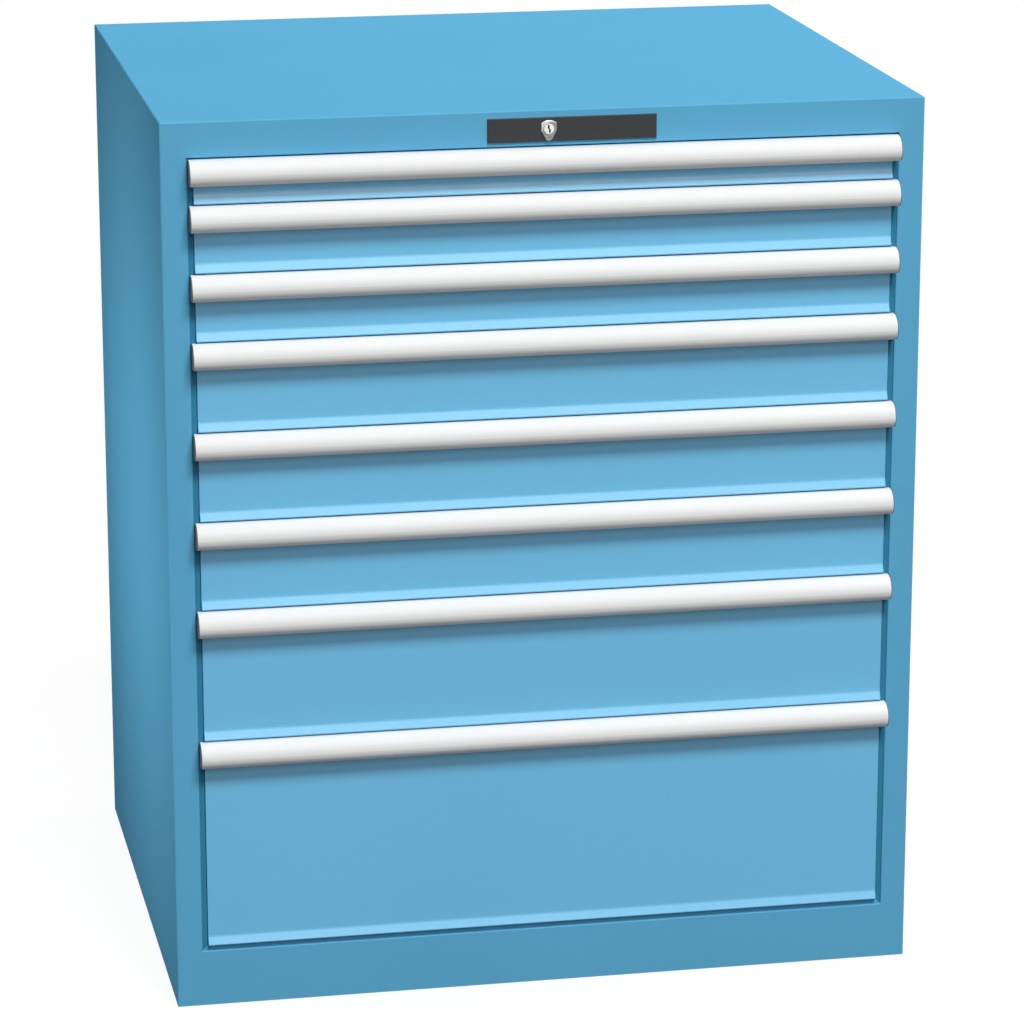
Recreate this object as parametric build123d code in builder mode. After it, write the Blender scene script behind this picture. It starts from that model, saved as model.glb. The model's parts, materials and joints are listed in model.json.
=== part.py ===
from build123d import *
import os
from math import cos, floor, radians, sin

# Workshop drawer cabinet: a sheet-steel housing with drawers on full-extension roller slides, full-width
# grip rails and one lock that holds every drawer shut. Millimetres, +Z up, the front faces -Y, and the
# origin lies on the floor under the middle of the closed cabinet's envelope.

# Housing
CABINET_WIDTH = 840.0
CABINET_DEPTH = 680.0  # housing alone, without the grip rails
CABINET_HEIGHT = 1000.0
SHEET = 2.0
OUTER_BEND = 1.6
STILE_WIDTH = 28.5
APRON_HEIGHT = 39.0  # band above the drawers
PLINTH_HEIGHT = 64.0  # band below the drawers
OUTER_RETURN = 14.0  # how far the front frame folds back at its outer edges
OPENING_RETURN = 20.0  # how far it folds back around the drawer opening
OPENING_BEND = 1.2
STOP_LIP = 7.5  # edge turned inwards at the back of the opening's return
REAR_FLANGE = 20.0
BACK_FIT = 0.5  # back panel to the side panels

# Floor anchors
ANCHOR_HOLE = 11.0
ANCHOR_SIDE_INSET = 70.0
ANCHOR_END_INSET = 80.0

# Slotted posts
RASTER = 25.0  # step of the slots and of the drawer heights
POST_DEPTH = 30.0
POST_SHEET = 2.0
POST_GAP = 0.5
SLOT_WIDTH = 4.2
SLOT_HEIGHT = 12.0
HOOK_FIT = 0.3
HOOK_REACH = 6.0

# Drawer fronts, from the top down; the last drawer takes what is left of the opening
FRONT_STEPS = (2, 3, 3, 4, 4, 4, 6)
FRONT_REVEAL = 1.4  # gap over each front
FRONT_SIDE_GAP = 6.5
FRONT_BOTTOM_GAP = 7.0
FRONT_SHEET = 1.5
FRONT_DEPTH = 14.0
FRONT_BEND = 1.2
FRONT_SIDE_BEND = 1.0
FRONT_LAP = 6.0  # folded sides over the edges of the box
LIP_HEIGHT = 10.5  # lower edge of a front, kicked outwards
LIP_FLARE = 4.0
LIP_BEND = 8.0

# Grip rails
GRIP_HEIGHT = 27.0
GRIP_PROJECTION = 20.0
GRIP_NOSE = 16.0  # radius from the flat top down to the tip
GRIP_MOUTH = 12.2  # room for the fingers, open underneath
GRIP_WALL = 1.8
GRIP_FLANGE = 12.0  # wall that lies against the drawer front
GRIP_CORNER = 2.0
GRIP_EDGE = 0.6
GRIP_END_GAP = 1.0
CAP_THICKNESS = 0.8
CAP_PLUG = 6.0
CAP_FIT = 0.2

# Drawer boxes
BOX_SHEET = 1.2
BOX_HEM = 10.0  # doubled top edge
BOX_UNDER = 6.0  # bottom of the box above the bottom of its front
BOX_HEADROOM = 10.0
BOX_REAR_GAP = 26.0

# Roller slides
RUN_CLEARANCE = 0.3
ROLLER_DIAMETER = 16.0
ROLLER_WIDTH = 7.0
ROLLER_END = 20.0  # outermost roller to the end of its rail
ROLLER_SPREAD = 270.0
STUD_DIAMETER = 6.0
STUD_FIT = 0.05
STUD_HEAD = 9.0
STUD_HEAD_THICKNESS = 1.0
HEAD_PLAY = 1.0
RAIL_SHEET = 1.8
RAIL_PLAY = 0.6  # channel edges to the middle rail
RAIL_RISE = 2.0  # channel above the bottom of the box
MIDDLE_SHEET = 2.0
MIDDLE_HEIGHT = 18.0
MIDDLE_SHORTER = 6.0  # middle rail shorter than the cabinet rail

# Lock
LOCK_DROP = 20.0  # lock axis below the top
PLATE_LEFT = 67.0  # lock plate, measured from the lock axis
PLATE_RIGHT = 119.0
PLATE_RISE = 12.0
PLATE_DROP = 14.0
PLATE_THICKNESS = 2.5
PLATE_EDGE = 0.8
SHIELD_WIDTH = 17.0
SHIELD_RISE = 9.3
SHIELD_DROP = 13.1
SHIELD_CROWN = 3.0
SHIELD_SHOULDER = 2.0  # where the sides start to taper, below the axis
SHIELD_TOE = 4.5
SHIELD_TOE_ANGLE = 25.0
SHIELD_THICKNESS = 1.8
SHIELD_EDGE = 0.6
COLLAR_DIAMETER = 14.0
COLLAR_RISE = 0.7
BARREL_DIAMETER = 16.0
BARREL_FIT = 0.1
PLUG_DIAMETER = 11.0
PLUG_FIT = 0.05
PLUG_SUNK = 0.4  # plug's face behind the collar
KEYWAY_HEIGHT = 8.6
KEYWAY_WIDTH = 1.8
KEYWAY_KINK = 1.2
KEYWAY_DEPTH = 12.0
NUT_RADIUS = 12.5
NUT_THICKNESS = 4.0
CAM_RADIUS = 10.0
CAM_SWING = 90.0
CAM_THICKNESS = 2.5
CAM_WIDTH = 9.0
CAM_GAP = 1.2
PIN_DIAMETER = 5.0
PIN_PLAY = 0.6
PIN_OVERRUN = 1.0

# Locking bar and drawer catches
BAR_SHEET = 3.0
BAR_GAP = 1.5
BAR_EDGE = 3.0  # metal above the cam slot
BAR_END = 10.0
LEG_WIDTH = 14.0
LEG_GAP = 3.0
TONGUE_GAP = 0.5
TONGUE_HEIGHT = 6.0
CATCH_GAP = 3.0  # catch to the stop lip that it passes
CATCH_SHEET = 3.0
CATCH_PLAY = 5.0  # locked drawer's free travel, from the catch to the tongue
CATCH_RISE = 3.0  # catch above the drawer's channel

# Places that follow from the sizes above
front_y = (GRIP_PROJECTION - CABINET_DEPTH) / 2
rear_y = front_y + CABINET_DEPTH
side_inner = CABINET_WIDTH / 2 - SHEET
opening_half = CABINET_WIDTH / 2 - STILE_WIDTH
opening_width = 2 * opening_half
opening_top = CABINET_HEIGHT - APRON_HEIGHT
opening_height = opening_top - PLINTH_HEIGHT
opening_mid_z = (opening_top + PLINTH_HEIGHT) / 2

bar_front = front_y + OPENING_RETURN + BAR_GAP
bar_rear = bar_front + BAR_SHEET
post_front = bar_rear + POST_GAP
post_rear = rear_y - 2 * SHEET - POST_GAP
post_places = (post_front, post_rear - POST_DEPTH)

roller_lane = 2 * RUN_CLEARANCE + ROLLER_WIDTH + STUD_HEAD_THICKNESS + HEAD_PLAY
middle_outer = opening_half - RAIL_SHEET - roller_lane
middle_inner = middle_outer - MIDDLE_SHEET
box_half = middle_inner - roller_lane
channel_inner = ROLLER_DIAMETER + 2 * RUN_CLEARANCE
channel_outer = channel_inner + 2 * RAIL_SHEET
rail_length = post_rear - post_front
middle_length = rail_length - MIDDLE_SHORTER
box_front = front_y + FRONT_DEPTH
box_rear = rear_y - 2 * SHEET - BOX_REAR_GAP
catch_front = bar_rear + CATCH_PLAY

front_half = opening_half - FRONT_SIDE_GAP
grip_half = opening_half - GRIP_END_GAP - CAP_THICKNESS

lock_z = CABINET_HEIGHT - LOCK_DROP
shield_front = front_y - PLATE_THICKNESS
barrel_rear = bar_front - CAM_GAP - CAM_THICKNESS - RUN_CLEARANCE
cam_reach = CAM_RADIUS * sin(radians(CAM_SWING / 2))
cam_drop = CAM_RADIUS * cos(radians(CAM_SWING / 2))
catch_reach = opening_half - STOP_LIP - CATCH_GAP - box_half
leg_outer = side_inner - LEG_GAP
leg_inner = leg_outer - LEG_WIDTH
shelf_half = leg_inner - 2 * cam_reach - LEG_GAP  # shelf under the bar's arm, clear of the leg when locked
arm_bottom = opening_top + SHEET + RUN_CLEARANCE
slot_half = PIN_DIAMETER / 2 + PIN_PLAY
arm_top = lock_z - cam_drop + slot_half + BAR_EDGE

front_plane = Plane.XZ.offset(-front_y)

# Heights of the drawers: top and bottom of each place, then box bottoms and slide centres on the raster
place_tops = [opening_top - RASTER * sum(FRONT_STEPS[:count]) for count in range(len(FRONT_STEPS) + 1)]
place_bottoms = place_tops[1:] + [PLINTH_HEIGHT + FRONT_BOTTOM_GAP]
last_full_bottom = place_bottoms[-2] + BOX_UNDER
last_drop = RASTER * floor((last_full_bottom - place_bottoms[-1] - BOX_UNDER) / RASTER)
box_bottoms = [bottom + BOX_UNDER for bottom in place_bottoms[:-1]] + [last_full_bottom - last_drop]
rail_centres = [bottom + RAIL_RISE + channel_outer / 2 for bottom in box_bottoms]
catch_bottoms = [centre + channel_outer / 2 + CATCH_RISE for centre in rail_centres]

os.makedirs("parts", exist_ok=True)


def save(builder, name):
    """Label a finished piece and write it under its own name."""
    builder.part.label = name
    export_step(builder.part, f"parts/{name}.step")


# Front frame: one pressing with folded outer edges and a folded return around the drawer opening
with BuildPart() as front_frame:
    with BuildSketch(front_plane):
        with Locations((0, CABINET_HEIGHT / 2)):
            Rectangle(CABINET_WIDTH, CABINET_HEIGHT)
    extrude(amount=-OUTER_RETURN)
    upright_edges = front_frame.faces().sort_by(Axis.Y)[0].edges().sort_by(Axis.Z)[1:]
    crown_edges = front_frame.edges().filter_by(Axis.Y).group_by(Axis.Z)[-1]
    fillet(upright_edges + crown_edges, radius=OUTER_BEND)
    with BuildSketch(front_plane.offset(-SHEET)):
        with Locations((0, CABINET_HEIGHT / 2)):
            Rectangle(CABINET_WIDTH - 2 * SHEET, CABINET_HEIGHT - 2 * SHEET)
    extrude(amount=SHEET - OUTER_RETURN, mode=Mode.SUBTRACT)
    with BuildSketch(front_plane):
        with Locations((0, opening_mid_z)):
            Rectangle(opening_width + 2 * SHEET, opening_height + 2 * SHEET)
    extrude(amount=-OPENING_RETURN)
    with BuildSketch(front_plane):
        with Locations((0, opening_top + SHEET / 2)):
            Rectangle(2 * shelf_half, SHEET)
    extrude(amount=front_y - bar_rear)
    with BuildSketch(front_plane):
        with Locations((0, opening_mid_z)):
            Rectangle(opening_width, opening_height)
    extrude(amount=SHEET - OPENING_RETURN, mode=Mode.SUBTRACT)
    with BuildSketch(front_plane):
        with Locations((0, opening_mid_z + STOP_LIP / 2)):
            Rectangle(opening_width - 2 * STOP_LIP, opening_height - STOP_LIP)
    extrude(amount=-OPENING_RETURN, mode=Mode.SUBTRACT)
    opening_rim = front_frame.faces().sort_by(Axis.Y)[0].inner_wires()[0].edges()
    fillet(opening_rim, radius=OPENING_BEND)
    with BuildSketch(front_plane):
        with Locations((0, lock_z)):
            Circle(BARREL_DIAMETER / 2 + BARREL_FIT)
    extrude(amount=-SHEET, mode=Mode.SUBTRACT)
save(front_frame, "front_frame")


# Side panels: a flat sheet with a flange turned inwards at the back
def side_panel(direction):
    """Side sheet on the side that direction gives, +1 for the right."""
    with BuildPart() as panel:
        with BuildSketch(Plane.XY):
            with Locations((direction * (side_inner + SHEET / 2), (front_y + OUTER_RETURN + rear_y) / 2)):
                Rectangle(SHEET, CABINET_DEPTH - OUTER_RETURN)
            with Locations((direction * (CABINET_WIDTH - REAR_FLANGE) / 2, rear_y - SHEET / 2)):
                Rectangle(REAR_FLANGE, SHEET)
        extrude(amount=CABINET_HEIGHT - SHEET)
        outer_face = panel.faces().sort_by(Axis.X)[-1 if direction > 0 else 0]
        fillet(outer_face.edges().filter_by(Axis.Z).sort_by(Axis.Y)[-1], radius=OUTER_BEND)
    return panel


save(side_panel(-1), "left_side_panel")
save(side_panel(1), "right_side_panel")

# Top panel: a flat sheet over the sides, with a flange turned down at the back
with BuildPart() as top_panel:
    with BuildSketch(Plane.XY.offset(CABINET_HEIGHT - SHEET)):
        with Locations((0, (front_y + OUTER_RETURN + rear_y) / 2)):
            Rectangle(CABINET_WIDTH, CABINET_DEPTH - OUTER_RETURN)
    extrude(amount=SHEET)
    top_rim = top_panel.faces().sort_by(Axis.Z)[-1].edges().sort_by(Axis.Y)[1:]
    fillet(top_rim, radius=OUTER_BEND)
    with BuildSketch(Plane.XY.offset(CABINET_HEIGHT - SHEET)):
        with Locations((0, rear_y - SHEET / 2)):
            Rectangle(CABINET_WIDTH - 2 * REAR_FLANGE, SHEET)
    extrude(amount=SHEET - REAR_FLANGE)
save(top_panel, "top_panel")

# Base pan: the floor sheet with anchor holes and a flange turned up at the back
anchor_spread_x = CABINET_WIDTH - 2 * ANCHOR_SIDE_INSET
anchor_spread_y = CABINET_DEPTH - 2 * ANCHOR_END_INSET
with BuildPart() as base_pan:
    with BuildSketch(Plane.XY):
        with Locations((0, (front_y + OUTER_RETURN + rear_y - SHEET) / 2)):
            Rectangle(2 * side_inner, CABINET_DEPTH - OUTER_RETURN - SHEET)
        with Locations((0, (front_y + rear_y) / 2)):
            with GridLocations(anchor_spread_x, anchor_spread_y, 2, 2):
                Circle(ANCHOR_HOLE / 2, mode=Mode.SUBTRACT)
    extrude(amount=SHEET)
    with BuildSketch(Plane.XY):
        with Locations((0, rear_y - SHEET / 2)):
            Rectangle(CABINET_WIDTH - 2 * REAR_FLANGE, SHEET)
    extrude(amount=PLINTH_HEIGHT)
save(base_pan, "base_pan")

# Back panel: a flat sheet against the inside of the rear flanges
with BuildPart() as back_panel:
    with BuildSketch(Plane.XY.offset(SHEET)):
        with Locations((0, rear_y - 1.5 * SHEET)):
            Rectangle(2 * (side_inner - BACK_FIT), SHEET)
    extrude(amount=CABINET_HEIGHT - 2 * SHEET)
save(back_panel, "back_panel")

# Slotted posts: four channels, open towards the side panels, with a slot at every step of the raster
slot_margin = SHEET + SLOT_HEIGHT
slots_below = floor((rail_centres[-1] - slot_margin) / RASTER)
slots_above = floor((CABINET_HEIGHT - slot_margin - rail_centres[-1]) / RASTER)
slot_count = slots_below + slots_above + 1
slot_mid_z = rail_centres[-1] + RASTER * (slots_above - slots_below) / 2
with BuildPart() as slotted_posts:
    for place in post_places:
        with BuildSketch(Plane.XY.offset(SHEET)):
            with Locations(((opening_half + side_inner) / 2, place + POST_DEPTH / 2)):
                Rectangle(side_inner - opening_half, POST_DEPTH)
            with Locations(((opening_half + POST_SHEET + side_inner) / 2, place + POST_DEPTH / 2)):
                Rectangle(
                    side_inner - opening_half - POST_SHEET, POST_DEPTH - 2 * POST_SHEET, mode=Mode.SUBTRACT
                )
        extrude(amount=CABINET_HEIGHT - 2 * SHEET)
        with BuildSketch(Plane.YZ.offset(opening_half)):
            with Locations((place + POST_DEPTH / 2, slot_mid_z)):
                with GridLocations(0, RASTER, 1, slot_count):
                    Rectangle(SLOT_WIDTH, SLOT_HEIGHT)
        extrude(amount=POST_SHEET, mode=Mode.SUBTRACT)
    mirror(about=Plane.YZ)
save(slotted_posts, "slotted_posts")

# Cabinet rails: a channel each side of every drawer, hooked into the posts
rail_inner = middle_outer + RAIL_PLAY
with BuildPart() as cabinet_rails:
    with BuildSketch(Plane.XZ.offset(-post_front)):
        with Locations(*[((rail_inner + opening_half) / 2, centre) for centre in rail_centres]):
            Rectangle(opening_half - rail_inner, channel_outer)
        with Locations(*[((rail_inner + opening_half - RAIL_SHEET) / 2, centre) for centre in rail_centres]):
            Rectangle(opening_half - RAIL_SHEET - rail_inner, channel_inner, mode=Mode.SUBTRACT)
    extrude(amount=-rail_length)
    with BuildSketch(Plane.YZ.offset(opening_half)):
        for place in post_places:
            with Locations(*[(place + POST_DEPTH / 2, centre) for centre in rail_centres]):
                Rectangle(SLOT_WIDTH - 2 * HOOK_FIT, SLOT_HEIGHT - 2 * HOOK_FIT)
    extrude(amount=HOOK_REACH)
    mirror(about=Plane.YZ)
save(cabinet_rails, "cabinet_rails")


# Drawer pieces, each made once for every drawer
def grip_outline(sketch, top):
    """Closed section of a grip rail: narrow flat top, round nose that curls under, flat underside."""
    tip_y = front_y - GRIP_PROJECTION
    tip = (tip_y, top - GRIP_NOSE)
    flat_end = (tip_y + GRIP_NOSE, top)
    lower_edge = (front_y - GRIP_MOUTH - GRIP_WALL, top - GRIP_HEIGHT)
    with BuildLine() as outline:
        Line((front_y, top), flat_end)
        TangentArc(flat_end, tip, tangent=(-1, 0))
        TangentArc(tip, lower_edge, tangent=(0, -1))
        Polyline(lower_edge, (front_y, top - GRIP_HEIGHT), (front_y, top))
    make_face(outline.edges())
    fillet(sketch.vertices().sort_by_distance(lower_edge)[0], radius=GRIP_CORNER)


def drawer_grip(top):
    """Extruded rail: a flange on the front and a round skin, open underneath for the fingers."""
    with BuildPart() as grip:
        with BuildSketch(Plane.YZ) as section:
            grip_outline(section, top)
            offset(amount=-GRIP_WALL, mode=Mode.SUBTRACT)
            with Locations((front_y - GRIP_MOUTH / 2, top - (GRIP_FLANGE + GRIP_HEIGHT) / 2)):
                Rectangle(GRIP_MOUTH, GRIP_HEIGHT - GRIP_FLANGE, mode=Mode.SUBTRACT)
        extrude(amount=grip_half, both=True)
        lip_inside = grip.edges().filter_by(Axis.X).group_by(Axis.Z)[0].sort_by(Axis.Y)[-1]
        fillet(lip_inside, radius=GRIP_EDGE)
    return grip


def drawer_grip_caps(top):
    """Moulded cap on each end of the rail, with a plug that fits inside it."""
    with BuildPart() as caps:
        with BuildSketch(Plane.YZ.offset(grip_half)) as section:
            grip_outline(section, top)
        extrude(amount=CAP_THICKNESS)
        with BuildSketch(Plane.YZ.offset(grip_half)) as plug:
            grip_outline(plug, top)
            offset(amount=-GRIP_WALL - CAP_FIT, mode=Mode.REPLACE)
        extrude(amount=-CAP_PLUG)
        mirror(about=Plane.YZ)
    return caps


def front_outline(top, bottom):
    """Closed section of a drawer front: upright face whose lower edge is kicked outwards."""
    back_y = front_y + FRONT_DEPTH
    lip_y = front_y - LIP_FLARE
    with BuildLine() as outline:
        Polyline(
            (back_y, top),
            (front_y, top),
            (front_y, bottom + LIP_HEIGHT),
            (lip_y, bottom),
            (back_y, bottom),
            close=True,
        )
    make_face(outline.edges())


def drawer_front(top, bottom):
    """Shallow tray with rounded bends; its sides fold in behind, where the box's front wall is fixed."""
    with BuildPart() as front:
        with BuildSketch(Plane.YZ) as section:
            front_outline(top, bottom)
            lip_bend = section.vertices().sort_by_distance((front_y, bottom + LIP_HEIGHT))[0]
            fillet(lip_bend, radius=LIP_BEND)
            top_bend = section.vertices().sort_by_distance((front_y, top))[0]
            lip_edge = section.vertices().sort_by_distance((front_y - LIP_FLARE, bottom))[0]
            fillet([top_bend, lip_edge], radius=FRONT_BEND)
        extrude(amount=front_half, both=True)
        side_edges = front.faces().filter_by(Axis.X).edges()
        side_bends = side_edges.filter_by(lambda edge: edge.center().Y < box_front - FRONT_SHEET)
        fillet(side_bends, radius=FRONT_SIDE_BEND)
        with BuildSketch(Plane.YZ):
            front_outline(top, bottom)
            offset(amount=-FRONT_SHEET, kind=Kind.INTERSECTION, mode=Mode.REPLACE)
        extrude(amount=front_half - FRONT_SHEET, both=True, mode=Mode.SUBTRACT)
        with BuildSketch(Plane.XZ.offset(-box_front)):
            with Locations((0, (top + bottom) / 2)):
                Rectangle(2 * (box_half - FRONT_LAP), top - bottom - 2 * FRONT_SHEET)
        extrude(amount=FRONT_SHEET, mode=Mode.SUBTRACT)
    return front


def drawer_box(box_top, bottom, rail_centre, catch_bottom):
    """Open tray with a doubled top edge, a channel for the rollers on each side and a catch on the right."""
    box_mid_y = (box_front + box_rear) / 2
    box_length = box_rear - box_front
    with BuildPart() as box:
        with BuildSketch(Plane.XY.offset(bottom)):
            with Locations((0, box_mid_y)):
                Rectangle(2 * box_half, box_length)
        extrude(amount=box_top - bottom)
        with BuildSketch(Plane.XY.offset(bottom + BOX_SHEET)):
            with Locations((0, box_mid_y)):
                Rectangle(2 * (box_half - BOX_SHEET), box_length - 2 * BOX_SHEET)
        extrude(amount=box_top - BOX_HEM - bottom - BOX_SHEET, mode=Mode.SUBTRACT)
        with BuildSketch(Plane.XY.offset(box_top)):
            with Locations((0, box_mid_y)):
                Rectangle(2 * (box_half - 2 * BOX_SHEET), box_length - 4 * BOX_SHEET)
        extrude(amount=-BOX_HEM, mode=Mode.SUBTRACT)
        channel_reach = middle_inner - RAIL_PLAY - box_half
        channel_length = box_rear - catch_front
        for direction in (-1, 1):
            flange_x = direction * (box_half + channel_reach / 2)
            flange_rise = (channel_inner + RAIL_SHEET) / 2
            with BuildSketch(Plane.XZ.offset(-catch_front)):
                with Locations((flange_x, rail_centre - flange_rise), (flange_x, rail_centre + flange_rise)):
                    Rectangle(channel_reach, RAIL_SHEET)
            extrude(amount=-channel_length)
        with BuildSketch(Plane.XZ.offset(-catch_front)):
            with Locations((box_half + catch_reach / 2, catch_bottom + TONGUE_HEIGHT / 2)):
                Rectangle(catch_reach, TONGUE_HEIGHT)
        extrude(amount=-CATCH_SHEET)
    return box


outer_roller_ys = [post_front + middle_length - ROLLER_END - step for step in (0, ROLLER_SPREAD)]
inner_roller_ys = [post_front + ROLLER_END + step for step in (0, ROLLER_SPREAD)]
roller_rows = ((middle_outer, 1, outer_roller_ys), (middle_inner, -1, inner_roller_ys))
stud_length = 2 * RUN_CLEARANCE + ROLLER_WIDTH


def middle_rails(rail_centre):
    """Flat bar each side, with headed studs for the rollers on both of its faces."""
    with BuildPart() as rails:
        with BuildSketch(Plane.XZ.offset(-post_front)):
            with Locations(((middle_inner + middle_outer) / 2, rail_centre)):
                Rectangle(MIDDLE_SHEET, MIDDLE_HEIGHT)
        extrude(amount=-middle_length)
        for face_x, outward, roller_ys in roller_rows:
            spots = [(y, rail_centre) for y in roller_ys]
            with BuildSketch(Plane.YZ.offset(face_x)):
                with Locations(*spots):
                    Circle(STUD_DIAMETER / 2)
            extrude(amount=outward * stud_length)
            with BuildSketch(Plane.YZ.offset(face_x + outward * stud_length)):
                with Locations(*spots):
                    Circle(STUD_HEAD / 2)
            extrude(amount=outward * STUD_HEAD_THICKNESS)
        mirror(about=Plane.YZ)
    return rails


def slide_rollers(rail_centre):
    """Rollers on the studs: the outer ones run in the cabinet rails, the inner ones carry the drawer."""
    with BuildPart() as rollers:
        for face_x, outward, roller_ys in roller_rows:
            with BuildSketch(Plane.YZ.offset(face_x + outward * RUN_CLEARANCE)):
                with Locations(*[(y, rail_centre) for y in roller_ys]):
                    Circle(ROLLER_DIAMETER / 2)
                    Circle(STUD_DIAMETER / 2 + STUD_FIT, mode=Mode.SUBTRACT)
            extrude(amount=outward * ROLLER_WIDTH)
        mirror(about=Plane.YZ)
    return rollers


for index, box_bottom in enumerate(box_bottoms):
    drawer = f"drawer_{index + 1}"
    front_top = place_tops[index] - FRONT_REVEAL
    box_top = place_tops[index] - BOX_HEADROOM
    save(drawer_box(box_top, box_bottom, rail_centres[index], catch_bottoms[index]), f"{drawer}_box")
    save(drawer_front(front_top, place_bottoms[index]), f"{drawer}_front")
    save(drawer_grip(front_top), f"{drawer}_grip_rail")
    save(drawer_grip_caps(front_top), f"{drawer}_grip_caps")
    save(middle_rails(rail_centres[index]), f"{drawer}_middle_rails")
    save(slide_rollers(rail_centres[index]), f"{drawer}_rollers")

# Lock plate: a thin moulded bezel on the apron
with BuildPart() as lock_plate:
    with BuildSketch(front_plane):
        with Locations(((PLATE_RIGHT - PLATE_LEFT) / 2, lock_z + (PLATE_RISE - PLATE_DROP) / 2)):
            Rectangle(PLATE_LEFT + PLATE_RIGHT, PLATE_RISE + PLATE_DROP)
    extrude(amount=PLATE_THICKNESS)
    fillet(lock_plate.faces().sort_by(Axis.Y)[0].edges(), radius=PLATE_EDGE)
    with BuildSketch(front_plane):
        with Locations((0, lock_z)):
            Circle(BARREL_DIAMETER / 2 + BARREL_FIT)
    extrude(amount=PLATE_THICKNESS, mode=Mode.SUBTRACT)
save(lock_plate, "lock_plate")

# Lock housing: shield-shaped flange and barrel in one casting, with its nut behind the apron
toe_angle = radians(SHIELD_TOE_ANGLE)
toe_z = lock_z - SHIELD_DROP + SHIELD_TOE
toe_x = SHIELD_TOE * cos(toe_angle)
toe_start_z = toe_z - SHIELD_TOE * sin(toe_angle)
shoulder_z = lock_z - SHIELD_SHOULDER
crown_z = lock_z + SHIELD_RISE - SHIELD_CROWN
with BuildPart() as lock_housing:
    with BuildSketch(Plane.XZ.offset(-shield_front)):
        with BuildLine():
            ThreePointArc(
                (-SHIELD_WIDTH / 2, crown_z), (0, lock_z + SHIELD_RISE), (SHIELD_WIDTH / 2, crown_z)
            )
            Polyline((SHIELD_WIDTH / 2, crown_z), (SHIELD_WIDTH / 2, shoulder_z), (toe_x, toe_start_z))
            ThreePointArc((toe_x, toe_start_z), (0, lock_z - SHIELD_DROP), (-toe_x, toe_start_z))
            Polyline((-toe_x, toe_start_z), (-SHIELD_WIDTH / 2, shoulder_z), (-SHIELD_WIDTH / 2, crown_z))
        make_face()
    extrude(amount=SHIELD_THICKNESS)
    fillet(lock_housing.faces().sort_by(Axis.Y)[0].edges(), radius=SHIELD_EDGE)
    with BuildSketch(Plane.XZ.offset(-shield_front + SHIELD_THICKNESS)):
        with Locations((0, lock_z)):
            Circle(COLLAR_DIAMETER / 2)
    extrude(amount=COLLAR_RISE)
    with BuildSketch(Plane.XZ.offset(-shield_front)):
        with Locations((0, lock_z)):
            Circle(BARREL_DIAMETER / 2)
    extrude(amount=shield_front - barrel_rear)
    with BuildSketch(Plane.XZ.offset(-barrel_rear)):
        with Locations((0, lock_z)):
            Circle(PLUG_DIAMETER / 2 + PLUG_FIT)
    extrude(amount=barrel_rear - shield_front + SHIELD_THICKNESS + COLLAR_RISE, mode=Mode.SUBTRACT)
    with BuildSketch(front_plane.offset(-SHEET)):
        with Locations((0, lock_z)):
            RegularPolygon(NUT_RADIUS, 6)
            Circle(BARREL_DIAMETER / 2 + BARREL_FIT, mode=Mode.SUBTRACT)
    extrude(amount=-NUT_THICKNESS)
save(lock_housing, "lock_housing")

# Lock cylinder: keyed plug with a cam behind it, whose pin drives the locking bar
plug_front = shield_front - SHIELD_THICKNESS - COLLAR_RISE + PLUG_SUNK
cam_front = barrel_rear + RUN_CLEARANCE
cam_rear = cam_front + CAM_THICKNESS
with BuildPart() as lock_cylinder:
    with BuildSketch(Plane.XZ.offset(-plug_front)):
        with Locations((0, lock_z)):
            Circle(PLUG_DIAMETER / 2)
    extrude(amount=plug_front - cam_front)
    with BuildSketch(Plane.XZ.offset(-plug_front)):
        with Locations((-KEYWAY_KINK / 2, lock_z + KEYWAY_HEIGHT / 4)):
            Rectangle(KEYWAY_WIDTH, KEYWAY_HEIGHT / 2)
        with Locations((KEYWAY_KINK / 2, lock_z - KEYWAY_HEIGHT / 4)):
            Rectangle(KEYWAY_WIDTH, KEYWAY_HEIGHT / 2)
    extrude(amount=-KEYWAY_DEPTH, mode=Mode.SUBTRACT)
    with BuildSketch(Plane.XZ.offset(-cam_front)):
        with Locations((cam_reach / 2, lock_z - cam_drop / 2)):
            SlotCenterToCenter(CAM_RADIUS, CAM_WIDTH, rotation=CAM_SWING / 2 - 90)
    extrude(amount=-CAM_THICKNESS)
    with BuildSketch(Plane.XZ.offset(-cam_rear)):
        with Locations((cam_reach, lock_z - cam_drop)):
            Circle(PIN_DIAMETER / 2)
    extrude(amount=cam_rear - bar_rear - PIN_OVERRUN)
save(lock_cylinder, "lock_cylinder")

# Locking bar: an arm over the apron's return, a leg behind the right stile and a tongue for every drawer
arm_left = cam_reach - BAR_END
tongue_tip = opening_half + TONGUE_GAP
slot_low_z = lock_z - CAM_RADIUS - slot_half
slot_high_z = lock_z - cam_drop + slot_half
with BuildPart() as lock_bar:
    with BuildSketch(Plane.XZ.offset(-bar_front)):
        with Locations(((arm_left + leg_outer) / 2, (arm_bottom + arm_top) / 2)):
            Rectangle(leg_outer - arm_left, arm_top - arm_bottom)
        with Locations(((leg_inner + leg_outer) / 2, (catch_bottoms[-1] + arm_top) / 2)):
            Rectangle(LEG_WIDTH, arm_top - catch_bottoms[-1])
        with Locations(*[((tongue_tip + leg_inner) / 2, low + TONGUE_HEIGHT / 2) for low in catch_bottoms]):
            Rectangle(leg_inner - tongue_tip, TONGUE_HEIGHT)
        with Locations((cam_reach, (slot_low_z + slot_high_z) / 2)):
            Rectangle(2 * slot_half, slot_high_z - slot_low_z, mode=Mode.SUBTRACT)
    extrude(amount=-BAR_SHEET)
save(lock_bar, "lock_bar")
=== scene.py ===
"""Looks of the workshop drawer cabinet: finishes, closing strips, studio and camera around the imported
frame, in metres."""

import json
from math import cos, radians, sin

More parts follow.
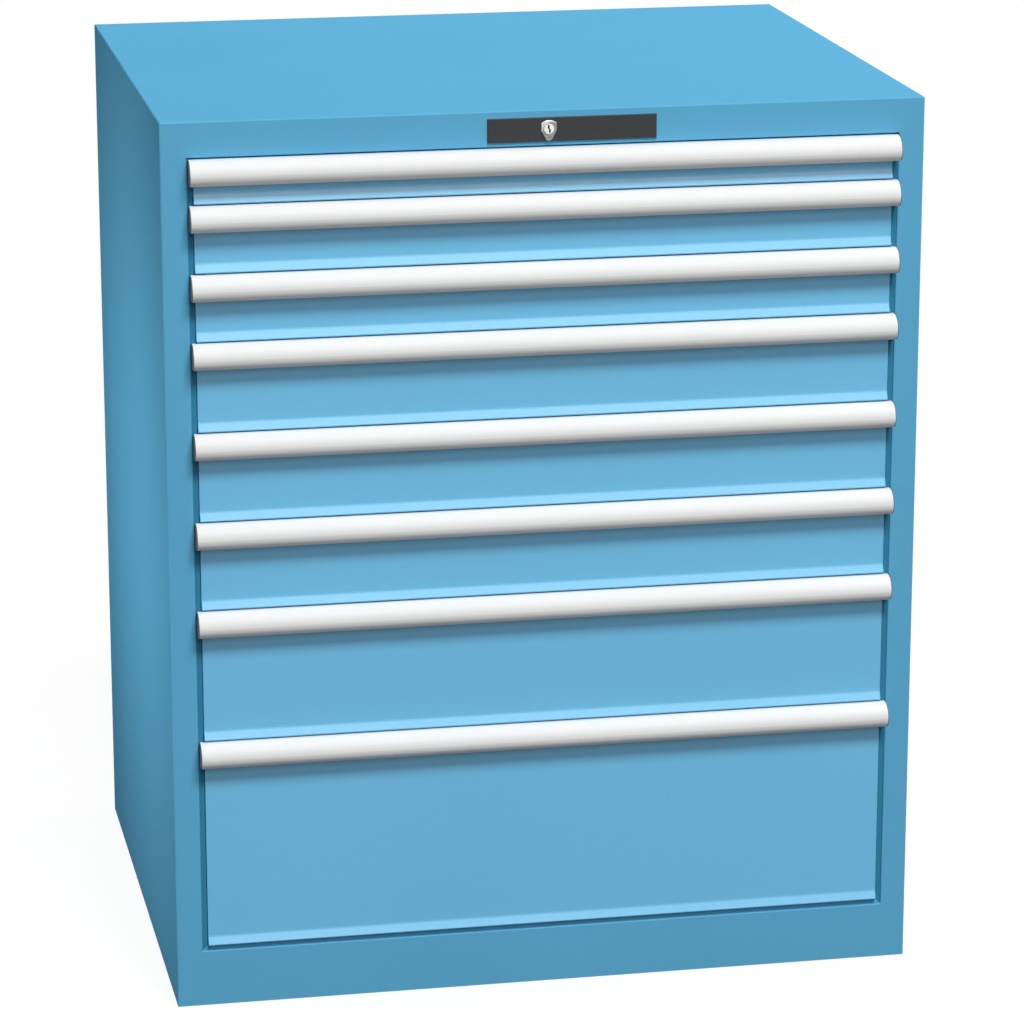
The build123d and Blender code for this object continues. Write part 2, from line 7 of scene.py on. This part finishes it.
import bpy
import numpy as np
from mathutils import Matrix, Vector


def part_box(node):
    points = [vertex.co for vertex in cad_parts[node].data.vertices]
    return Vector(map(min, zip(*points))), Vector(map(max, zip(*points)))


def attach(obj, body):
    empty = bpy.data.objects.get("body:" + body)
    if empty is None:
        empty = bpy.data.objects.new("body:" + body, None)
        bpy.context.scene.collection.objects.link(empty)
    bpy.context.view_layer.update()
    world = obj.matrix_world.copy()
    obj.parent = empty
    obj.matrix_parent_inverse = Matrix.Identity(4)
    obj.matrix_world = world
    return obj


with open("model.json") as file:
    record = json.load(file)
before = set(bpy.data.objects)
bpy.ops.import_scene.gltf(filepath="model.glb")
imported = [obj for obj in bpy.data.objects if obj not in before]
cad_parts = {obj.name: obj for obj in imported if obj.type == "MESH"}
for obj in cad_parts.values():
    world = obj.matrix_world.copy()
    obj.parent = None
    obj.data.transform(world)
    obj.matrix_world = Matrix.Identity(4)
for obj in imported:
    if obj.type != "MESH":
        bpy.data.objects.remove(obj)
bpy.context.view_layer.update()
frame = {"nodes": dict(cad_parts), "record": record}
nodes = frame["nodes"]

# Colours, linear
HOUSING_BLUE = (0.114, 0.405, 0.633)
FRONT_BLUE = (0.128, 0.462, 0.724)
# The side strips' teal is painted shade: a darker copy of the housing blue standing for the shade deep in
# the gaps
GAP_SHADE_TEAL = (0.038, 0.215, 0.352)
BOX_GREY = (0.60, 0.62, 0.62)
RAIL_SILVER = (0.78, 0.782, 0.785)
CAP_GREY = (0.070, 0.070, 0.072)
PLATE_GREY = (0.036, 0.038, 0.041)
ZINC = (0.62, 0.63, 0.64)
GALVANISED = (0.55, 0.56, 0.57)
NYLON = (0.72, 0.71, 0.66)
NICKEL = (0.58, 0.58, 0.575)
BRIGHT_NICKEL = (0.78, 0.78, 0.77)
FLOOR_GREY = (0.09, 0.09, 0.09)
WHITE = (1.0, 1.0, 1.0)

# Patterns in cycles per metre, shades as shares of a colour, bumps as strength and height
NOISE_SPAN = (0.3, 0.7)
NOISE_DETAIL = 2.0
NO_STRETCH = (1.0, 1.0, 1.0)
WHOLE_SPAN = (0.0, 1.0)

# Powder coat
COAT_CLOUDS = 5.0
COAT_CLOUD_DETAIL = 3.0
COAT_PEEL = 650.0
COAT_GLOSS = 45.0
COAT_SHADES = (0.97, 1.03)
COAT_ROUGHNESS_SPREAD = 0.03
COAT_BUMP = (0.06, 0.0004)

# Anodised grip rails
RAIL_LINES = 900.0
RAIL_STRETCH = (0.004, 1.0, 1.0)
RAIL_CLOUDS = 7.0
RAIL_SHADES = (0.98, 1.0)
RAIL_ROUGHNESS = (0.36, 0.44)
RAIL_SPECULAR = 0.04
RAIL_BUMP = (0.08, 0.0002)

# Moulded plastic
PLASTIC_GRAIN = 1800.0
PLASTIC_GRAIN_DETAIL = 3.0
PLASTIC_CLOUDS = 30.0
PLASTIC_SHADES = (0.92, 1.08)
PLASTIC_ROUGHNESS = (0.46, 0.58)
PLASTIC_SPECULAR = 0.5
PLASTIC_BUMP = (0.2, 0.0003)

# Zinc plating
ZINC_LINES = 420.0
ZINC_STRETCH = (1.0, 0.02, 1.0)
ZINC_CLOUDS = 22.0
ZINC_CLOUD_DETAIL = 4.0
ZINC_SHADES = (0.9, 1.08)
ZINC_ROUGHNESS = (0.28, 0.42)
ZINC_BUMP = (0.1, 0.0002)

# Galvanised sheet
SPANGLE = 90.0
SPANGLE_SHADES = (0.86, 1.12)
SPANGLE_ROUGHNESS = (0.34, 0.5)

# Nickel of the lock, with painted shade in the keyway: fades begin at a share of the ring's width and of
# the shaded depth
NICKEL_GRAIN = 300.0
RING_WIDTH = 0.0022
RING_FADE_FROM = 0.6
RING_SHADES = (0.45, 1.0)
SHIELD_ROUGHNESS = (0.26, 0.32)
KEYWAY_SHADE_DEPTH = 0.0008
KEYWAY_FADE_FROM = 0.2
KEYWAY_SHADES = (1.0, 0.03)
PLUG_ROUGHNESS = (0.24, 0.30)

# Closing strips in the gaps beside and below the drawers; the side strips' darker teal is painted shade
# of the gaps
SIDE_GAP = 0.0065
BOTTOM_GAP = 0.007
STRIP_PLAY = 0.0003
STRIP_DEPTH = 0.0018
STRIP_THICKNESS = 0.0016
NOSE_POINTS = 9
STRIP_PAINTS = {
    "left_strip": "strip_paint",
    "bottom_strip": "housing_paint",
    "right_strip": "strip_paint",
}

# Points near the middles of the cabinet's faces, at which the lamps are aimed
FRONT_MIDDLE = Vector((0.0, -0.33, 0.5))
LEFT_MIDDLE = Vector((-0.42, -0.05, 0.5))
RIGHT_MIDDLE = Vector((0.42, 0.1, 0.5))
BACK_MIDDLE = Vector((0.0, 0.35, 0.5))
TOP_MIDDLE = Vector((0.0, 0.0, 1.0))

# World and floor, which glows white but for a small share that takes the shadow near the middle
AMBIENT = 0.055
FLOOR_HALF = 12.0
SHADOW_SPAN = (0.9, 2.2)
GLOW_SHARES = (0.9, 1.0)

# Camera, at the photograph's viewing angle
CAMERA_AZIMUTH = -11.1
CAMERA_ELEVATION = 15.46
CAMERA_TARGET = Vector((0.0217, -0.016, 0.4654))
CAMERA_DISTANCE = 5.028
CAMERA_LENS = 150.1
CAMERA_SENSOR = 36.0
CAMERA_REACH = 50.0

# Sockets of a Mix node that carry colours
MIX_FIRST = 6
MIX_SECOND = 7
MIX_RESULT = 2


# Objects
def add_object(name, data):
    """New object in the scene that holds a mesh, a lamp or a camera."""
    obj = bpy.data.objects.new(name, data)
    bpy.context.scene.collection.objects.link(obj)
    return obj


def add_surface(name, points, faces, material):
    """New object whose mesh has the points and faces, in one material."""
    mesh = bpy.data.meshes.new(name)
    mesh.from_pydata(points, [], faces)
    mesh.materials.append(material)
    return add_object(name, mesh)


# Nodes
def opaque(colour):
    """Colour with full cover as its fourth channel, as sockets take it."""
    return (*colour, 1.0)


def add_node(tree, kind, links=(), **settings):
    """New shader node: links maps its sockets to outputs or plain values, settings are its properties."""
    node = tree.nodes.new("ShaderNode" + kind)
    for key, value in settings.items():
        setattr(node, key, value)
    for socket, value in dict(links).items():
        if isinstance(value, bpy.types.NodeSocket):
            tree.links.new(value, node.inputs[socket])
        else:
            node.inputs[socket].default_value = value
    return node


def map_range(tree, value, span, results, **settings):
    """Maps a value from the ends of a span to the ends of the results, and no further."""
    links = {
        "Value": value,
        "From Min": span[0],
        "From Max": span[1],
        "To Min": results[0],
        "To Max": results[1],
    }
    return add_node(tree, "MapRange", links, **settings).outputs["Result"]


def distance_from_origin(tree, place):
    """Length of a place's vector."""
    return add_node(tree, "VectorMath", {0: place}, operation="LENGTH").outputs["Value"]


# Finishes
class Finish:
    """A material with its shader, and short ways to add nodes that read Object coordinates."""

    def __init__(self, name):
        self.material = bpy.data.materials.new(name)
        self.material.use_nodes = True
        self.tree = self.material.node_tree
        self.shader = self.tree.nodes["Principled BSDF"]
        self.place = add_node(self.tree, "TexCoord").outputs["Object"]

    def moved(self, **sockets):
        """Object coordinates through a Mapping node, whose Location and Scale are set by name."""
        links = {"Vector": self.place, **sockets}
        return add_node(self.tree, "Mapping", links).outputs["Vector"]

    def noise(self, scale, detail=NOISE_DETAIL, stretch=NO_STRETCH):
        """Noise in cycles per metre, drawn out along an axis by a small factor there."""
        links = {"Vector": self.moved(Scale=stretch), "Scale": scale, "Detail": detail}
        return add_node(self.tree, "TexNoise", links).outputs["Fac"]

    def between(self, factor, results, span=NOISE_SPAN):
        """Maps a factor from its usual span to the results."""
        return map_range(self.tree, factor, span, results)

    def tint(self, factor, colour, shades):
        """Mixes a colour, by a factor, between two shades that are shares of it."""
        first, second = (opaque(channel * share for channel in colour) for share in shades)
        links = {"Factor": factor, MIX_FIRST: first, MIX_SECOND: second}
        return add_node(self.tree, "Mix", links, data_type="RGBA").outputs[MIX_RESULT]

    def bump(self, pattern, strength, height):
        """Bump from a pattern, with its height in metres."""
        links = {"Height": pattern, "Strength": strength, "Distance": height}
        return add_node(self.tree, "Bump", links).outputs["Normal"]

    def set(self, **sockets):
        """Sets sockets of the shader, named with underscores for spaces, to outputs or numbers."""
        for key, value in sockets.items():
            socket = self.shader.inputs[key.replace("_", " ")]
            if isinstance(value, bpy.types.NodeSocket):
                self.tree.links.new(value, socket)
            else:
                socket.default_value = value
        return self.material


def powder_coat(name, colour, specular, roughness):
    """Powder coat: fine orange peel, faint cloudiness in colour and gloss."""
    finish = Finish(name)
    clouds = finish.noise(COAT_CLOUDS, COAT_CLOUD_DETAIL)
    peel = finish.noise(COAT_PEEL)
    gloss = finish.noise(COAT_GLOSS)
    roughness_range = (roughness - COAT_ROUGHNESS_SPREAD, roughness + COAT_ROUGHNESS_SPREAD)
    return finish.set(
        Base_Color=finish.tint(clouds, colour, COAT_SHADES),
        Roughness=finish.between(gloss, roughness_range),
        Specular_IOR_Level=specular,
        Normal=finish.bump(peel, *COAT_BUMP),
    )


def anodised_rail(name):
    """Satin anodised extrusion: faint die lines along the rail."""
    finish = Finish(name)
    lines = finish.noise(RAIL_LINES, stretch=RAIL_STRETCH)
    clouds = finish.noise(RAIL_CLOUDS)
    return finish.set(
        Base_Color=finish.tint(clouds, RAIL_SILVER, RAIL_SHADES),
        Roughness=finish.between(lines, RAIL_ROUGHNESS),
        Specular_IOR_Level=RAIL_SPECULAR,
        Normal=finish.bump(lines, *RAIL_BUMP),
    )


def moulded_plastic(name, colour, specular=PLASTIC_SPECULAR):
    """Matt moulded plastic with a fine spark-eroded grain."""
    finish = Finish(name)
    grain = finish.noise(PLASTIC_GRAIN, PLASTIC_GRAIN_DETAIL)
    clouds = finish.noise(PLASTIC_CLOUDS)
    return finish.set(
        Base_Color=finish.tint(clouds, colour, PLASTIC_SHADES),
        Roughness=finish.between(grain, PLASTIC_ROUGHNESS),
        Specular_IOR_Level=specular,
        Normal=finish.bump(grain, *PLASTIC_BUMP),
    )


def zinc_plate(name):
    """Bright zinc plating on rolled sheet: faint rolling lines and clouds."""
    finish = Finish(name)
    lines = finish.noise(ZINC_LINES, stretch=ZINC_STRETCH)
    clouds = finish.noise(ZINC_CLOUDS, ZINC_CLOUD_DETAIL)
    return finish.set(
        Base_Color=finish.tint(clouds, ZINC, ZINC_SHADES),
        Metallic=1.0,
        Roughness=finish.between(lines, ZINC_ROUGHNESS),
        Normal=finish.bump(lines, *ZINC_BUMP),
    )


def galvanised_sheet(name):
    """Galvanised sheet with its spangle of flat crystals."""
    finish = Finish(name)
    links = {"Vector": finish.place, "Scale": SPANGLE}
    crystals = add_node(finish.tree, "TexVoronoi", links).outputs["Color"]
    tone = add_node(finish.tree, "SeparateColor", {"Color": crystals}).outputs["Red"]
    return finish.set(
        Base_Color=finish.tint(tone, GALVANISED, SPANGLE_SHADES),
        Metallic=1.0,
        Roughness=finish.between(tone, SPANGLE_ROUGHNESS, WHOLE_SPAN),
    )


def ringed_nickel(name):
    """Satin nickel of the lock's shield, darker in a ring around the plug that fades outwards."""
    finish = Finish(name)
    plug_low, plug_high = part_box("lock_cylinder")
    middle = (plug_low + plug_high) / 2
    edge = (plug_high.x - plug_low.x) / 2
    across_axis = finish.moved(Location=(-middle.x, 0.0, -middle.z), Scale=(1.0, 0.0, 1.0))
    reach = distance_from_origin(finish.tree, across_axis)
    fade = (edge + RING_FADE_FROM * RING_WIDTH, edge + RING_WIDTH)
    plain = finish.between(reach, WHOLE_SPAN, fade)
    return finish.set(
        Base_Color=finish.tint(plain, NICKEL, RING_SHADES),
        Metallic=1.0,
        Roughness=finish.between(finish.noise(NICKEL_GRAIN), SHIELD_ROUGHNESS),
    )


def plug_nickel(name):
    """Bright nickel of the lock's plug, with painted shade a little way into the keyway."""
    finish = Finish(name)
    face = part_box("lock_cylinder")[0].y
    depth = add_node(finish.tree, "SeparateXYZ", {"Vector": finish.place}).outputs["Y"]
    fade = (face + KEYWAY_FADE_FROM * KEYWAY_SHADE_DEPTH, face + KEYWAY_SHADE_DEPTH)
    # Painted shade: the plug's colour goes dark a little way into the keyway
    keyway_shade = finish.between(depth, WHOLE_SPAN, fade)
    return finish.set(
        Base_Color=finish.tint(keyway_shade, BRIGHT_NICKEL, KEYWAY_SHADES),
        Metallic=1.0,
        Roughness=finish.between(finish.noise(NICKEL_GRAIN), PLUG_ROUGHNESS),
    )


finishes = {
    "housing_paint": powder_coat("housing_powder_coat", HOUSING_BLUE, specular=0.0, roughness=0.60),
    "front_paint": powder_coat("front_powder_coat", FRONT_BLUE, specular=0.8, roughness=0.33),
    # Painted shade: the side strips' teal is darker than the housing blue to stand for the shade in the
    # gaps
    "strip_paint": powder_coat("strip_painted_gap_shade", GAP_SHADE_TEAL, specular=0.0, roughness=0.60),
    "box_paint": powder_coat("box_powder_coat", BOX_GREY, specular=0.5, roughness=0.40),
    "grip_anodised": anodised_rail("anodised_rail"),
    "cap_plastic": moulded_plastic("cap_plastic_grain", CAP_GREY),
    "rail_zinc": zinc_plate("zinc_plating"),
    "post_zinc": galvanised_sheet("galvanised_spangle"),
    "roller_plastic": moulded_plastic("nylon_rollers", NYLON),
    "plate_plastic": moulded_plastic("plate_plastic_grain", PLATE_GREY, specular=0.2),
    "lock_nickel": ringed_nickel("satin_nickel"),
}
for subpart in frame["record"]["subparts"]:
    nodes[subpart["node"]].material_slots[0].material = finishes[subpart["material_slot"]]
nodes["lock_cylinder"].material_slots[0].material = plug_nickel("bright_nickel")


# Closing strips
def closing_strip(name, ends, inward, paint):
    """Thin strip in a gap: a round-nosed section carried along a straight run. The section runs flat
    to its nose, half way round a circle as wide as the strip is thick, and flat back again. Its points
    go, at each end of the run, to that end plus their way across times the inward direction there,
    which is mitred where two runs meet, and lie behind the plane of the front frame by the strip's
    depth plus their own way back."""
    radius = STRIP_THICKNESS / 2
    turn = np.linspace(-np.pi / 2, np.pi / 2, NOSE_POINTS)
    nose_middle = SIDE_GAP - STRIP_PLAY - radius
    across = np.concatenate(([0.0], nose_middle + radius * np.cos(turn), [0.0]))
    behind = np.concatenate(([0.0], radius + radius * np.sin(turn), [STRIP_THICKNESS]))
    place = ends[:, None, :] + across[None, :, None] * inward[:, None, :]
    depth = np.broadcast_to(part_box("front_frame")[0].y + STRIP_DEPTH + behind, place.shape[:2])
    points = np.stack((place[..., 0], depth, place[..., 1]), axis=-1)
    rows, columns = points.shape[:2]
    index = np.arange(rows * columns).reshape(rows, columns)
    after = np.roll(index, -1, axis=1)
    sides = np.stack((index[:-1], index[1:], after[1:], after[:-1]), axis=-1).reshape(-1, 4)
    caps = [index[0].tolist(), index[-1, ::-1].tolist()]
    strip = add_surface(name, points.reshape(-1, 3).tolist(), sides.tolist() + caps, finishes[paint])
    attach(strip, "cabinet")


front_low, front_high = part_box("drawer_8_front")
gap_half = front_high.x + SIDE_GAP
gap_bottom = front_low.z - BOTTOM_GAP
gap_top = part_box("drawer_1_grip_rail")[1].z
gap_corners = np.array(
    [(-gap_half, gap_top), (-gap_half, gap_bottom), (gap_half, gap_bottom), (gap_half, gap_top)]
)
gap_inward = np.array([(1, 0), (1, 1), (-1, 1), (-1, 0)])
for run, (strip_name, strip_paint) in enumerate(STRIP_PAINTS.items()):
    closing_strip(strip_name, gap_corners[run : run + 2], gap_inward[run : run + 2], strip_paint)


# Studio
def direction(azimuth, elevation):
    """Unit vector away from the front, turned by an azimuth to the right and raised by an elevation,
    in degrees."""
    turn, rise = radians(azimuth), radians(elevation)
    return Vector((sin(turn) * cos(rise), -cos(turn) * cos(rise), sin(rise)))


def around(azimuth, elevation, distance):
    """Place in a direction and at a distance from the middle of the front."""
    return FRONT_MIDDLE + distance * direction(azimuth, elevation)


def aim(obj, target):
    """Turns a lamp or camera at its place to look at a point."""
    obj.rotation_euler = (target - obj.location).to_track_quat("-Z", "Y").to_euler()


def softbox(name, place, target, width, height, power):
    """Rectangular soft lamp that the camera doesn't see, with its power in watts."""
    lamp = bpy.data.lights.new(name, "AREA")
    lamp.shape = "RECTANGLE"
    lamp.size = width
    lamp.size_y = height
    lamp.energy = power
    obj = add_object(name, lamp)
    obj.location = place
    obj.visible_camera = False
    aim(obj, target)


KEY_PLACE = around(azimuth=10.0, elevation=55.0, distance=15.0)
PANEL_PLACE = around(azimuth=8.0, elevation=28.0, distance=9.0)
FILL_PLACE = around(azimuth=1.0, elevation=9.0, distance=6.0)
SIDE_PLACE = Vector((-1.15, -0.05, 0.52))
RIGHT_PLACE = Vector((2.6, 0.35, 1.3))
BACK_PLACE = Vector((0.0, 3.3, 1.4))
TOP_PLACE = Vector((0.0, 0.8, 2.7))

softbox("key_softbox", KEY_PLACE, FRONT_MIDDLE, width=6.0, height=3.6, power=2120.0)
softbox("front_panel", PANEL_PLACE, FRONT_MIDDLE, width=5.4, height=3.3, power=175.0)
softbox("low_fill", FILL_PLACE, FRONT_MIDDLE, width=1.0, height=1.0, power=12.0)
softbox("side_lamp", SIDE_PLACE, LEFT_MIDDLE, width=0.4, height=0.4, power=4.2)
softbox("right_lamp", RIGHT_PLACE, RIGHT_MIDDLE, width=1.2, height=1.6, power=42.0)
softbox("back_lamp", BACK_PLACE, BACK_MIDDLE, width=1.6, height=1.6, power=68.0)
softbox("top_lamp", TOP_PLACE, TOP_MIDDLE, width=1.2, height=0.8, power=3.0)


def seen_directly(tree):
    """1 for rays from the camera, off gloss or through glass, 0 for rays that only carry light."""
    path = add_node(tree, "LightPath")
    seen = path.outputs["Is Camera Ray"]
    for name in ("Is Glossy Ray", "Is Transmission Ray"):
        links = {0: seen, 1: path.outputs[name]}
        seen = add_node(tree, "Math", links, operation="MAXIMUM").outputs["Value"]
    return seen


def studio_world():
    """World that is white where it is seen directly, and a faint even light otherwise."""
    world = bpy.data.worlds.new("studio")
    bpy.context.scene.world = world
    world.use_nodes = True
    tree = world.node_tree
    level = map_range(tree, seen_directly(tree), WHOLE_SPAN, (AMBIENT, 1.0))
    background = tree.nodes["Background"]
    background.inputs["Color"].default_value = opaque(WHITE)
    tree.links.new(level, background.inputs["Strength"])


def floor_finish(name):
    """White where the floor is seen directly, apart from the object's soft shadow, and grey otherwise."""
    material = bpy.data.materials.new(name)
    material.use_nodes = True
    tree = material.node_tree
    tree.nodes.clear()
    dim = add_node(tree, "BsdfDiffuse", {"Color": opaque(FLOOR_GREY)}).outputs["BSDF"]
    lit = add_node(tree, "BsdfDiffuse", {"Color": opaque(WHITE)}).outputs["BSDF"]
    glow = add_node(tree, "Emission").outputs["Emission"]
    reach = distance_from_origin(tree, add_node(tree, "TexCoord").outputs["Object"])
    share = map_range(tree, reach, SHADOW_SPAN, GLOW_SHARES, interpolation_type="SMOOTHSTEP")
    seen = add_node(tree, "MixShader", {"Fac": share, 1: lit, 2: glow}).outputs["Shader"]
    links = {"Fac": seen_directly(tree), 1: dim, 2: seen}
    surface = add_node(tree, "MixShader", links).outputs["Shader"]
    add_node(tree, "OutputMaterial", {"Surface": surface})
    return material


def studio_floor():
    """Plain floor: a square whose corners lie plus or minus its half width along both axes."""
    corners = FLOOR_HALF * np.array([(-1, -1, 0), (1, -1, 0), (1, 1, 0), (-1, 1, 0)])
    floor = add_surface("studio_floor", corners.tolist(), [(0, 1, 2, 3)], floor_finish("studio_floor"))


studio_world()
studio_floor()

camera = add_object("camera", bpy.data.cameras.new("camera"))
camera.data.lens = CAMERA_LENS
camera.data.sensor_width = CAMERA_SENSOR
camera.data.clip_end = CAMERA_REACH
camera.location = CAMERA_TARGET + CAMERA_DISTANCE * direction(CAMERA_AZIMUTH, CAMERA_ELEVATION)
aim(camera, CAMERA_TARGET)
bpy.context.scene.camera = camera
bpy.context.scene.view_settings.view_transform = "Standard"
